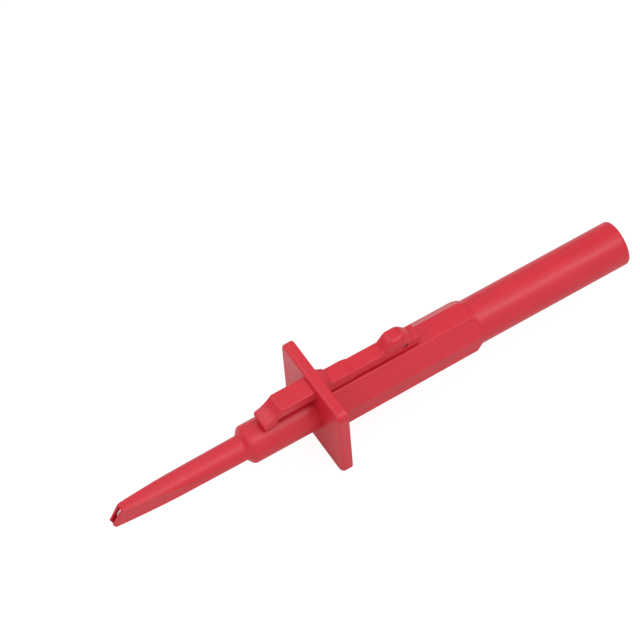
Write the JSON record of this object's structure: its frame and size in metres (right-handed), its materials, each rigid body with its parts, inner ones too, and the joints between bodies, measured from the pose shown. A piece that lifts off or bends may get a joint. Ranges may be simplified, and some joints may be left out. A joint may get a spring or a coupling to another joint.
{
  "type": "piercing test probe",
  "caption": "Hand-held piercing test probe: blade-like nose with a spring-loaded wire hook and needle, finger guard, thumb slider and shrouded rear lead socket.",
  "frame": {"origin": "centre of the mouth of the lead socket's metal contact", "axes": "+X out of the rear lead socket, along the probe; the tip points to -X; +Z towards the thumb slider"},
  "size_m": [0.1485, 0.0274, 0.0259],
  "materials": {
    "red_plastic": "satin moulded red",
    "dark_red_plastic": "fine matt red",
    "nylon": "natural",
    "steel": "drawn stainless",
    "spring_steel": "drawn",
    "brass": "turned",
    "nickel": "nickel plated"
  },
  "bodies": {
    "probe_body": {"nose_barrel": "red_plastic", "finger_guard": "red_plastic", "body_housing": "red_plastic", "rear_sleeve": "red_plastic", "piercing_needle": "steel", "needle_holder": "brass", "contact_rod": "brass", "spring_collar": "brass", "return_spring": "spring_steel", "socket_contact": "nickel", "socket_clip": "spring_steel", "socket_insulator": "dark_red_plastic"},
    "plunger": {"slider_bar": "red_plastic", "thumb_button": "red_plastic", "slider_pin": "steel", "plunger_carrier": "nylon", "hook_wire": "steel"}
  },
  "joints": [
    {"name": "hook_slide", "type": "slide", "parent": "probe_body", "child": "plunger", "axis": [-1, 0, 0], "range_m": [0, 0.008], "stiffness_N_per_m": 300, "springref_m": -0.006, "deforming": ["return_spring"]}
  ]
}
